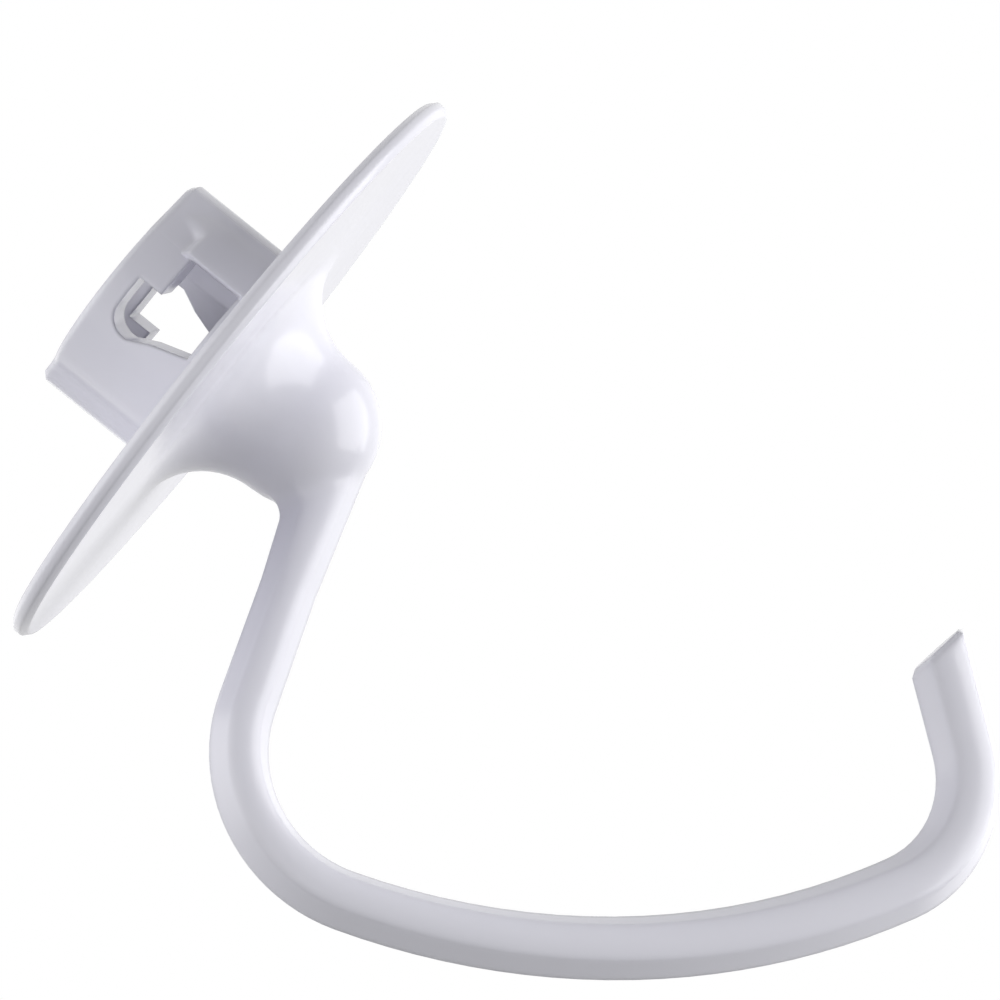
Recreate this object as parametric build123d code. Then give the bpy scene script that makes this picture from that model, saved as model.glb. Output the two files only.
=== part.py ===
from build123d import *
import os
from math import cos, radians, sin

os.makedirs("parts", exist_ok=True)

# The hook's axis is Z, pointing out of the socket's mouth.
# Z = 0 is the floor of the two pin paths, and the C-shaped arm lies in the XZ plane.

# Socket
shaft_radius = 6.35
pilot_clearance = 0.1
socket_clearance = 0.35
pilot_depth = 17.0
bore_end_chamfer = 1.5
hub_radius = 15.0
mouth_height = 15.1
mouth_edge_chamfer = 0.7
mouth_lead_in = 0.5

# Pin paths: down a keyway, round to the side, then up into a notch
pin_radius = 3.0
pin_side_clearance = 0.4
pin_half_length = 15.0
pin_end_clearance = 0.4
keyway_angle = -25.5
lock_turn = 93.0
path_height = 8.1
notch_width = 7.7
notch_top = 11.8
notch_waist_height = 5.0
notch_lean = 3.2
notch_round = 3.2
path_corner_radius = 0.7
window_edge_turn = 54.0

# Ribs over the keyways and covers over the turning stretch of the paths
rib_width = 10.4
rib_rise = 2.0
rib_corner_radius = 1.2
cover_rise = 1.5
cover_height = 9.0
cover_bevel = 1.4
cover_overlap = 0.5

# Shield
shield_radius = 46.2
shield_thickness = 2.6
shield_drop = 3.1
shield_edge_chamfer = 0.8

# Boss under the shield
boss_radius = 11.0
boss_flare_radius = 11.0

# Arm centreline, from below the boss's centre: straight neck, bends at the shoulder, flank and heel, then a straight toe
arm_root_offset = 1.0
arm_root_drop = 5.75
neck_slope = 18.7
neck_length = 38.9
shoulder_radius = 20.6
shoulder_turn = 90.7
flank_radius = 107.6
flank_turn = 42.6
heel_radius = 17.6
heel_turn = 77.8
toe_length = 14.8
toe_cut_slope = 10.0
toe_edge_chamfer = 0.7

# Arm section: a ridge along the inner and outer sides, leaning faces and a crowned front and back
root_inset = 0.35
root_crease_depth = 9.2
root_length = 24.0
neck_width = 7.6
toe_width = 9.5
ridge_height = 1.95
crease_depth = 8.0
crown = 0.6
root_fillet = 3.5

# Sizes that follow from the ones above
pilot_radius = shaft_radius + pilot_clearance
socket_radius = shaft_radius + socket_clearance
path_radius = pin_half_length + pin_end_clearance
keyway_width = 2 * (pin_radius + pin_side_clearance)
notch_angle = keyway_angle - lock_turn
notch_half = notch_width / 2
shield_top = -shield_drop
shield_bottom = shield_top - shield_thickness
shield_middle = (shield_top + shield_bottom) / 2
waist = shield_bottom - boss_flare_radius
rib_radius = hub_radius + rib_rise
cover_radius = hub_radius + cover_rise
cover_inside = (socket_radius + hub_radius) / 2
neck_lean = radians(neck_slope)
neck_offset = arm_root_drop * cos(neck_lean) + arm_root_offset * sin(neck_lean)
root_width = 2 * (boss_radius - neck_offset - root_inset)
from_below = (Align.CENTER, Align.CENTER, Align.MIN)


def both_sides(shape):
    return shape + Rot(0, 0, 180) * shape


# Shield and boss, turned about the axis
with BuildPart() as body:
    with BuildSketch(Plane.XZ):
        with BuildLine():
            CenterArc((0, waist), boss_radius, -90, 90)
            flare = JernArc((boss_radius, waist), (0, 1), boss_flare_radius, -90)
            Polyline(
                flare @ 1,
                (shield_radius, shield_bottom),
                (shield_radius, shield_top),
                (0, shield_top),
                (0, waist - boss_radius),
            )
        make_face()
    revolve(axis=Axis.Z)
    rim = body.edges().filter_by(GeomType.CIRCLE).group_by(SortBy.RADIUS)[-1]
    chamfer(rim, shield_edge_chamfer)

# Hub with a rib over each keyway
with BuildPart() as hub:
    with BuildSketch(Plane.XY.offset(shield_middle)) as hub_outline:
        Circle(rib_radius)
        Rectangle(3 * rib_radius, rib_width, rotation=keyway_angle, mode=Mode.INTERSECT)
        Circle(hub_radius)
        fillet(hub_outline.vertices(), rib_corner_radius)
    extrude(amount=mouth_height - shield_middle)
    mouth = hub.faces().sort_by(Axis.Z)[-1]
    chamfer(mouth.outer_wire().edges(), mouth_edge_chamfer)

# Cover over the turning stretch of one path, from its rib to the edge of its window
with BuildPart() as cover:
    with BuildSketch(Plane.XZ.rotated((0, 0, keyway_angle - window_edge_turn))):
        with BuildLine():
            Polyline(
                (cover_inside, shield_middle),
                (cover_radius, shield_middle),
                (cover_radius, cover_height - cover_bevel),
                (hub_radius - cover_overlap, cover_height),
                (cover_inside, cover_height),
                close=True,
            )
        make_face()
    revolve(axis=Axis.Z, revolution_arc=window_edge_turn)

# One pin path: keyway, turning stretch and notch
with BuildPart() as pin_path:
    with BuildSketch():
        Circle(path_radius)
        Rectangle(
            2 * path_radius,
            keyway_width,
            rotation=keyway_angle,
            align=(Align.MIN, Align.CENTER),
            mode=Mode.INTERSECT,
        )
    extrude(amount=2 * mouth_height)
    with BuildSketch():
        with BuildLine():
            turn = CenterArc((0, 0), path_radius, notch_angle, lock_turn)
            Line((0, 0), turn @ 0)
            Line(turn @ 1, (0, 0))
        make_face()
    extrude(amount=path_height)
    outward = Vector(cos(radians(notch_angle)), sin(radians(notch_angle)), 0)
    with BuildSketch(Plane((0, 0, 0), x_dir=Vector(0, 0, 1).cross(outward), z_dir=outward)) as notch:
        with BuildLine():
            Polyline(
                (notch_lean - notch_half, 0),
                (notch_lean / 2 - notch_half, notch_waist_height),
                (-notch_half, path_height),
                (-notch_half, notch_top),
                (notch_half, notch_top),
                (notch_half, 0),
                close=True,
            )
        make_face()
        high = notch.vertices().group_by(Axis.Z)[-1]
        near_left = Vector(0, 0, 1).cross(outward)
        high = high.sort_by(lambda v: Vector(v).dot(near_left))
        fillet(high[0], notch_round)
        fillet(high[-1], path_corner_radius)
    extrude(amount=2 * path_radius)

# Arm, swept along its centreline and growing wider toward the toe
neck = PolarLine((arm_root_offset, waist - arm_root_drop), neck_length, 180 + neck_slope)
shoulder = JernArc(neck @ 1, neck % 1, shoulder_radius, shoulder_turn)
flank = JernArc(shoulder @ 1, shoulder % 1, flank_radius, flank_turn)
heel = JernArc(flank @ 1, flank % 1, heel_radius, heel_turn)
toe_end = heel @ 1 + toe_length * (heel % 1)
toe = Line(heel @ 1, toe_end + toe_width * (heel % 1))
centreline = Plane.XZ * Wire([neck, shoulder, flank, heel, toe])

def section(start, way, width, depth):
    half = width / 2
    flat_half = half - ridge_height
    crease_half = depth / 2
    with BuildSketch(Plane(start, x_dir=Vector(0, 1, 0).cross(way), z_dir=way)) as outline:
        with BuildLine():
            Polyline((flat_half, -crease_half), (half, 0), (flat_half, crease_half))
            ThreePointArc((flat_half, crease_half), (0, crease_half + crown), (-flat_half, crease_half))
            Polyline((-flat_half, crease_half), (-half, 0), (-flat_half, -crease_half))
            ThreePointArc((-flat_half, -crease_half), (0, -crease_half - crown), (flat_half, -crease_half))
        make_face()
    return outline.sketch.face()

neck_start = centreline @ 0
neck_way = centreline % 0
neck_end = section(neck_start, neck_way, neck_width, crease_depth)
toe_outline = section(centreline @ 1, centreline % 1, toe_width, crease_depth)
arm = Solid.sweep_multi([neck_end, toe_outline], centreline)
cut_place = Pos(toe_end.X, 0, toe_end.Y) * Rot(0, toe_cut_slope, 0)
arm = (arm - cut_place * Box(4 * toe_width, 4 * toe_width, 4 * toe_width, align=from_below)).solid()
toe_face = arm.faces().sort_by_distance((toe_end.X, 0, toe_end.Y))[0]
arm = arm.chamfer(toe_edge_chamfer, None, toe_face.edges())

# Root of the arm, narrowing from the boss into the neck
root_outline = section(neck_start, neck_way, root_width, root_crease_depth)
root_end = section(neck_start + root_length * neck_way, neck_way, neck_width, crease_depth)
arm = (arm + Solid.make_loft([root_outline.outer_wire(), root_end.outer_wire()], ruled=True)).solid()

# Everything cast in one, with the arm run into the boss
hook = (body.part + hub.part + both_sides(cover.part) + arm).solid()
seam = [
    edge
    for edge in hook.edges()
    if arm.distance_to(edge @ 0.5) < 0.001 and body.part.distance_to(edge @ 0.5) < 0.001
]
hook = hook.fillet(root_fillet, seam)

# Pilot bore with its tapered end, wider bore above it, lead-in, then the pin paths
pilot = Pos(0, 0, -pilot_depth) * Cylinder(pilot_radius, pilot_depth, align=from_below)
pilot_end = Cone(pilot_radius, pilot_radius - bore_end_chamfer, bore_end_chamfer, align=from_below)
socket = Cylinder(socket_radius, 2 * mouth_height, align=from_below)
lead_in = Cone(socket_radius + mouth_lead_in, socket_radius, mouth_lead_in, align=from_below)
hook = hook - pilot
hook = hook - Pos(0, 0, -pilot_depth) * Rot(180, 0, 0) * pilot_end
hook = hook - socket
hook = hook - Pos(0, 0, mouth_height) * Rot(180, 0, 0) * lead_in
hook = hook - both_sides(pin_path.part)

export_step(hook.solid(), "parts/dough_hook.step")
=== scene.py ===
import math
import bpy
import numpy as np
from mathutils import Matrix, Vector


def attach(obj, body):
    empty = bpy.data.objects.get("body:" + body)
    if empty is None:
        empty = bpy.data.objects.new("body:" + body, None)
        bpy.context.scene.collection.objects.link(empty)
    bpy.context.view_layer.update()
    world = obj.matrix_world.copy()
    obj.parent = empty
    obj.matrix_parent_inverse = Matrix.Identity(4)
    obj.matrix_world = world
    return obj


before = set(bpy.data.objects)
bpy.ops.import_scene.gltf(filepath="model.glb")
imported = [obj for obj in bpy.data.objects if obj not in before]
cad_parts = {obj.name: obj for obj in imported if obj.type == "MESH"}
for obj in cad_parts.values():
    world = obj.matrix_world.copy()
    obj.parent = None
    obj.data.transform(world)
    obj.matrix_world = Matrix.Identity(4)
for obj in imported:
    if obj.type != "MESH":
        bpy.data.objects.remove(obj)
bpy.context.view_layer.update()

scene = bpy.context.scene
scene.view_settings.view_transform = "Standard"
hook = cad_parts["dough_hook"]
print("frame loaded,", len(hook.data.polygons), "faces in the casting")

# where the picture is taken from, in metres and degrees
viewer = {
    "turn": 22.0,             # the arm's plane is turned this much from square-on
    "away": 0.536,            # distance from the axis
    "side": 0.00912,          # how far right of the axis
    "height": -0.0442,        # eye level, below the floor of the slots in the hub
    "roll": 51.23,            # the axis leans this much in the picture
    "focal": 140.87,          # mm
    "sensor": 36.0,           # mm across
    "clip": (0.01, 20.0),
}


def placeCamera(v):
    turn = math.radians(v["turn"])
    roll = math.radians(v["roll"])
    right = Vector((math.cos(turn), -math.sin(turn), 0))    # level, before the roll
    ahead = Vector((math.sin(turn), math.cos(turn), 0))
    up = Vector((0, 0, 1))
    camRight = right * math.cos(roll) - up * math.sin(roll)
    camUp = right * math.sin(roll) + up * math.cos(roll)
    at = right * v["side"] - ahead * v["away"] + up * v["height"]
    data = bpy.data.cameras.new("viewer")
    data.lens = v["focal"]
    data.sensor_width = v["sensor"]
    data.sensor_fit = "HORIZONTAL"
    data.clip_start, data.clip_end = v["clip"]
    cam = bpy.data.objects.new("viewer", data)
    cam.matrix_world = Matrix((
        (camRight.x, camUp.x, -ahead.x, at.x),
        (camRight.y, camUp.y, -ahead.y, at.y),
        (camRight.z, camUp.z, -ahead.z, at.z),
        (0, 0, 0, 1),
    ))
    scene.collection.objects.link(cam)
    scene.camera = cam
    return camRight, camUp, ahead


camRight, camUp, ahead = placeCamera(viewer)
print("camera placed")

# baked white coat over the casting, sizes in metres
coat = {
    "colour": (0.8, 0.796, 0.866, 1.0),
    "colourLow": (0.775, 0.771, 0.845, 1.0),    # where the coat is a touch thicker
    "cloudScale": 38.0,                         # clouds of about 25 mm
    "cloudDetail": 3.0,
    "cloudSpan": (0.3, 0.7),                    # most of the noise lies between these
    "roughness": (0.17, 0.25),
    "peelScale": 620.0,                         # ripples of about 1.5 mm, as a baked coat has
    "peelDetail": 1.0,
    "peelDepth": 0.00001,
    "hubEdge": 0.0009,                          # the coat rounds every edge of the casting,
    "armEdge": 0.0019,                          # and the arm was ground smooth before it
    "edgeSamples": 12,
    "armFrom": -0.019,                          # height where the rounder edges begin
    "armFade": 0.008,
}


def makeCoat(c):
    mat = bpy.data.materials.new("whiteCoat")
    mat.use_nodes = True
    nodes = mat.node_tree.nodes
    links = mat.node_tree.links
    shader = nodes["Principled BSDF"]
    place = nodes.new("ShaderNodeTexCoord")

    # cloudy tint and gloss
    clouds = nodes.new("ShaderNodeTexNoise")
    clouds.inputs["Scale"].default_value = c["cloudScale"]
    clouds.inputs["Detail"].default_value = c["cloudDetail"]
    links.new(place.outputs["Object"], clouds.inputs["Vector"])
    tint = nodes.new("ShaderNodeMix")
    tint.data_type = "RGBA"
    tint.inputs["A"].default_value = c["colourLow"]
    tint.inputs["B"].default_value = c["colour"]
    links.new(clouds.outputs["Fac"], tint.inputs["Factor"])
    links.new(tint.outputs["Result"], shader.inputs["Base Color"])
    gloss = nodes.new("ShaderNodeMapRange")
    gloss.inputs["From Min"].default_value, gloss.inputs["From Max"].default_value = c["cloudSpan"]
    gloss.inputs["To Min"].default_value, gloss.inputs["To Max"].default_value = c["roughness"]
    links.new(clouds.outputs["Fac"], gloss.inputs["Value"])
    links.new(gloss.outputs["Result"], shader.inputs["Roughness"])

    # edges, rounder down on the arm than on the hub and shield
    axes = nodes.new("ShaderNodeSeparateXYZ")
    links.new(place.outputs["Object"], axes.inputs["Vector"])
    edge = nodes.new("ShaderNodeMapRange")
    edge.inputs["From Min"].default_value = c["armFrom"]
    edge.inputs["From Max"].default_value = c["armFrom"] - c["armFade"]
    edge.inputs["To Min"].default_value = c["hubEdge"]
    edge.inputs["To Max"].default_value = c["armEdge"]
    links.new(axes.outputs["Z"], edge.inputs["Value"])
    soft = nodes.new("ShaderNodeBevel")
    soft.samples = c["edgeSamples"]
    links.new(edge.outputs["Result"], soft.inputs["Radius"])

    # faint orange peel
    peel = nodes.new("ShaderNodeTexNoise")
    peel.inputs["Scale"].default_value = c["peelScale"]
    peel.inputs["Detail"].default_value = c["peelDetail"]
    links.new(place.outputs["Object"], peel.inputs["Vector"])
    ripple = nodes.new("ShaderNodeBump")
    ripple.inputs["Distance"].default_value = c["peelDepth"]
    links.new(peel.outputs["Fac"], ripple.inputs["Height"])
    links.new(soft.outputs["Normal"], ripple.inputs["Normal"])
    links.new(ripple.outputs["Normal"], shader.inputs["Normal"])
    return mat


coatMaterial = makeCoat(coat)
hook.data.materials.clear()
hook.data.materials.append(coatMaterial)
print("coat made")

# soft run-off between a rib and its cover, laid a hair over the casting (metres and degrees)
runOff = {
    "windowEdge": -79.4,
    "ribEdge": -40.0,
    "hubRadius": 0.015,
    "coverRise": 0.0015,
    "ribRise": 0.002,
    "tangentAt": -71.4,             # the rib's side leaves the hub here along a tangent
    "leastTurn": 0.5,               # keeps the rib's side above nothing
    "ribBlend": 12,                 # higher is a crisper corner at the rib's top
    "coverBlend": 8,                # higher is a crisper line where cover and rib meet
    "lip": (0.0086, 0.0098),        # foot and top of the cover's bevel at the window
    "slope": (0.0077, 0.016),       # the same where the cover has run out
    "lipFade": (-68.0, -56.0),
    "mouth": 0.01512,
    "mouthChamfer": 0.0007,
    "foot": -0.0036,                # sunk in the shield
    "hair": 0.00003,
    "tuck": 0.0001,                 # how far the free borders dip into the casting
    "ribTuck": 2.5,                 # and over what turn they do so at the rib
    "windowTuck": 3.0,              # and at the window,
    "windowTuckDrop": 0.0006,       # from this far below the bevel's top upward
    "innerLow": 0.0159,             # inside face, within the cover's wall
    "innerHigh": 0.0142,            # and within the hub's, above the slot
    "slotTop": 0.0081,
    "steps": (80, 76),
    "sharpFrom": 35.0,
}


# smooth step: 0 below low, 1 above high, and 3 t squared less 2 t cubed between them
def ease(value, low, high):
    t = np.clip((value - low) / (high - low), 0, 1)
    return t * t * (3 - 2 * t)


# the hub's radius plus whichever is higher: the cover, which steps down over its bevel,
# or the rib's side, a straight line off the hub that levels out at the rib's top;
# then the free borders dip under the casting and the mouth's edge is cut at 45 degrees
def runOffRadius(r, turn, z):
    fade = ease(turn, *r["lipFade"])
    foot = r["lip"][0] + (r["slope"][0] - r["lip"][0]) * fade
    top = r["lip"][1] + (r["slope"][1] - r["lip"][1]) * fade
    cover = r["coverRise"] * (1 - ease(z, foot, top))
    along = np.radians(np.clip(turn - r["tangentAt"], r["leastTurn"], None))
    side = r["hubRadius"] / np.cos(along) - r["hubRadius"]
    crisp = r["ribBlend"]
    rib = side / (1 + (side / r["ribRise"]) ** crisp) ** (1 / crisp)
    crisp = r["coverBlend"]
    rise = (cover ** crisp + rib ** crisp) ** (1 / crisp)
    radius = r["hubRadius"] + r["hair"] + rise
    atRib = ease(turn, r["ribEdge"] - r["ribTuck"], r["ribEdge"])
    atWindow = 1 - ease(turn, r["windowEdge"], r["windowEdge"] + r["windowTuck"])
    atWindow = atWindow * ease(z, top - r["windowTuckDrop"], top)
    radius = radius - r["tuck"] * np.maximum(atRib, atWindow)
    return radius - np.clip(z - (r["mouth"] - r["mouthChamfer"]), 0, None)


# a closed shell on a grid of turn by height: outer wall at runOffRadius, inner wall
# inside the casting, and one strip of quads round the border to join them
def makeRunOff(name, r, half):
    across, up = r["steps"]
    turns = np.linspace(r["windowEdge"], r["ribEdge"], across)
    heights = np.linspace(r["foot"], r["mouth"], up)
    turn, z = np.meshgrid(turns, heights, indexing="ij")
    angle = np.radians(turn) + half
    outer = runOffRadius(r, turn, z)
    inner = np.where(z < r["slotTop"], r["innerLow"], r["innerHigh"])
    walls = np.stack([outer, inner])
    points = np.stack([walls * np.cos(angle), walls * np.sin(angle), np.stack([z, z])], -1)
    at = np.arange(z.size).reshape(z.shape)
    wall = np.stack([at[:-1, :-1], at[1:, :-1], at[1:, 1:], at[:-1, 1:]], -1).reshape(-1, 4)
    border = np.concatenate([at[:, 0], at[-1, 1:], at[-2::-1, -1], at[0, -2:0:-1]])
    onward = np.roll(border, -1)
    strip = np.stack([onward, border, border + z.size, onward + z.size], -1)
    quads = np.concatenate([wall, wall[:, ::-1] + z.size, strip])
    mesh = bpy.data.meshes.new(name)
    mesh.from_pydata(points.reshape(-1, 3).tolist(), [], quads.tolist())
    mesh.shade_smooth()
    mesh.set_sharp_from_angle(angle=math.radians(r["sharpFrom"]))
    mesh.materials.append(coatMaterial)
    obj = bpy.data.objects.new(name, mesh)
    scene.collection.objects.link(obj)
    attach(obj, "root")


makeRunOff("runOffFront", runOff, 0.0)
makeRunOff("runOffBack", runOff, math.pi)
print("run-offs laid on the hub")

studio = {
    "floor": -1.4,                          # the hook hangs clear of it
    "floorHalf": 2.0,
    "floorColour": (0.9, 0.9, 0.9, 1.0),
    "floorRoughness": 0.9,
    "floorGlow": 0.42,                      # as pale as under a lit studio's ceiling
    "white": (1.0, 1.0, 1.0, 1.0),
    "backdrop": 1.0,                        # what is seen behind the hook
    "ambient": 0.2,                         # what lights it
}


def makeFloor(s):
    half, height = s["floorHalf"], s["floor"]
    square = [(-half, -half), (half, -half), (half, half), (-half, half)]
    mesh = bpy.data.meshes.new("floor")
    mesh.from_pydata([(x, y, height) for x, y in square], [], [(0, 1, 2, 3)])
    floor = bpy.data.objects.new("floor", mesh)
    scene.collection.objects.link(floor)
    mat = bpy.data.materials.new("paleFloor")
    mat.use_nodes = True
    shader = mat.node_tree.nodes["Principled BSDF"]
    shader.inputs["Base Color"].default_value = s["floorColour"]
    shader.inputs["Roughness"].default_value = s["floorRoughness"]
    shader.inputs["Emission Color"].default_value = s["white"]
    shader.inputs["Emission Strength"].default_value = s["floorGlow"]
    mesh.materials.append(mat)
    floor.visible_diffuse = False           # it throws no light up at the hook
    floor.visible_glossy = False


# white to the camera and in reflections, and a low even light from all round
def makeWorld(s):
    world = bpy.data.worlds.new("studio")
    scene.world = world
    world.use_nodes = True
    nodes = world.node_tree.nodes
    links = world.node_tree.links
    back = nodes["Background"]
    back.inputs["Color"].default_value = s["white"]
    path = nodes.new("ShaderNodeLightPath")
    seen = nodes.new("ShaderNodeMath")
    seen.operation = "MAXIMUM"
    links.new(path.outputs["Is Camera Ray"], seen.inputs[0])
    links.new(path.outputs["Is Glossy Ray"], seen.inputs[1])
    through = nodes.new("ShaderNodeMath")
    through.operation = "MAXIMUM"
    links.new(seen.outputs[0], through.inputs[0])
    links.new(path.outputs["Is Transmission Ray"], through.inputs[1])
    level = nodes.new("ShaderNodeMapRange")
    level.inputs["To Min"].default_value = s["ambient"]
    level.inputs["To Max"].default_value = s["backdrop"]
    links.new(through.outputs[0], level.inputs["Value"])
    links.new(level.outputs["Result"], back.inputs["Strength"])


makeFloor(studio)
makeWorld(studio)
print("floor and backdrop set")

# soft boxes round the hook, in metres and watts
lamps = {
    "aim": (0, 0, -0.055),          # about the middle of the hook
    "distance": 1.0,
    "size": 1.2,
    # toward which side each stands: the picture's right, its up and the viewer; then its power
    "softBoxes": {
        "rightBox": ((1.0, 0.1, 0.1), 12.8),
        "leftBox": ((-0.9, 0.22, 0.22), 5.8),
        "frontBox": ((-0.5, -0.05, 0.85), 2.6),
        "rightBackBox": ((0.75, 0.0, -0.65), 1.4),
        "leftBackBox": ((-0.75, 0.0, -0.65), 1.0),
    },
}


def hangSoftBox(name, toward, power, l):
    data = bpy.data.lights.new(name, "AREA")
    data.shape = "SQUARE"
    data.size = l["size"]
    data.energy = power
    right, up, near = toward
    way = (camRight * right + camUp * up - ahead * near).normalized()
    aim = Vector(l["aim"])
    spot = aim + way * l["distance"]
    box = bpy.data.objects.new(name, data)
    box.location = spot
    box.rotation_euler = (aim - spot).to_track_quat("-Z", "Y").to_euler()
    scene.collection.objects.link(box)


for name, (toward, power) in lamps["softBoxes"].items():
    hangSoftBox(name, toward, power, lamps)
print("studio lit")
